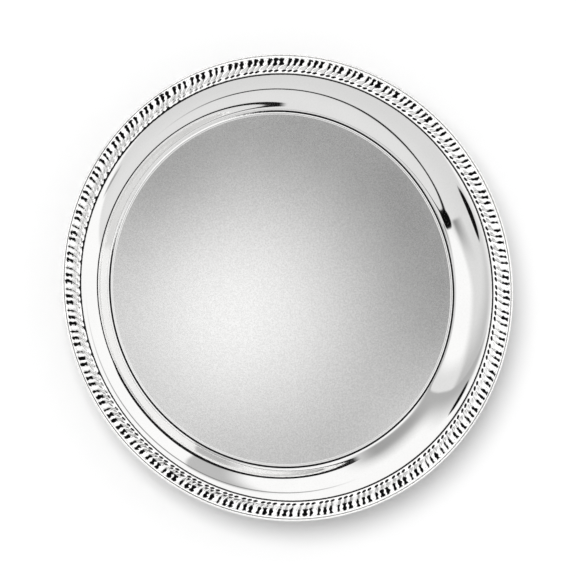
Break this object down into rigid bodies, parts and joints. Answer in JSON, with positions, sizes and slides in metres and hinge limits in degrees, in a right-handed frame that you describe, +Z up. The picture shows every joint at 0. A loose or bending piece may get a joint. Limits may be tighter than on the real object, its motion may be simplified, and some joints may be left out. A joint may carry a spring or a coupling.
{
  "type": "silver salver",
  "caption": "Round silver salver with a flat floor, a raised rounded side, a gadrooned border and small cast feet, for carrying glasses, cups or cards.",
  "frame": {"origin": "on the table, under the middle of the tray", "axes": "+Z up along the salver's axis; +X and +Y lie in the table, through joins between border sections"},
  "size_m": [0.3048, 0.3048, 0.0318],
  "materials": {
    "tray_silver": "polished side with a fine satin floor",
    "border_silver": "polished, darkened in the grooves",
    "wire_silver": "polished",
    "foot_silver": "polished casting"
  },
  "bodies": {
    "root": {"tray_plate": "tray_silver", "border_section_1": "border_silver", "border_section_2": "border_silver", "border_section_3": "border_silver", "border_section_4": "border_silver", "edge_wire": "wire_silver", "foot_1": "foot_silver", "foot_2": "foot_silver", "foot_3": "foot_silver", "foot_4": "foot_silver", "foot_plate_1": "foot_silver", "foot_plate_2": "foot_silver", "foot_plate_3": "foot_silver", "foot_plate_4": "foot_silver"}
  },
  "joints": []
}
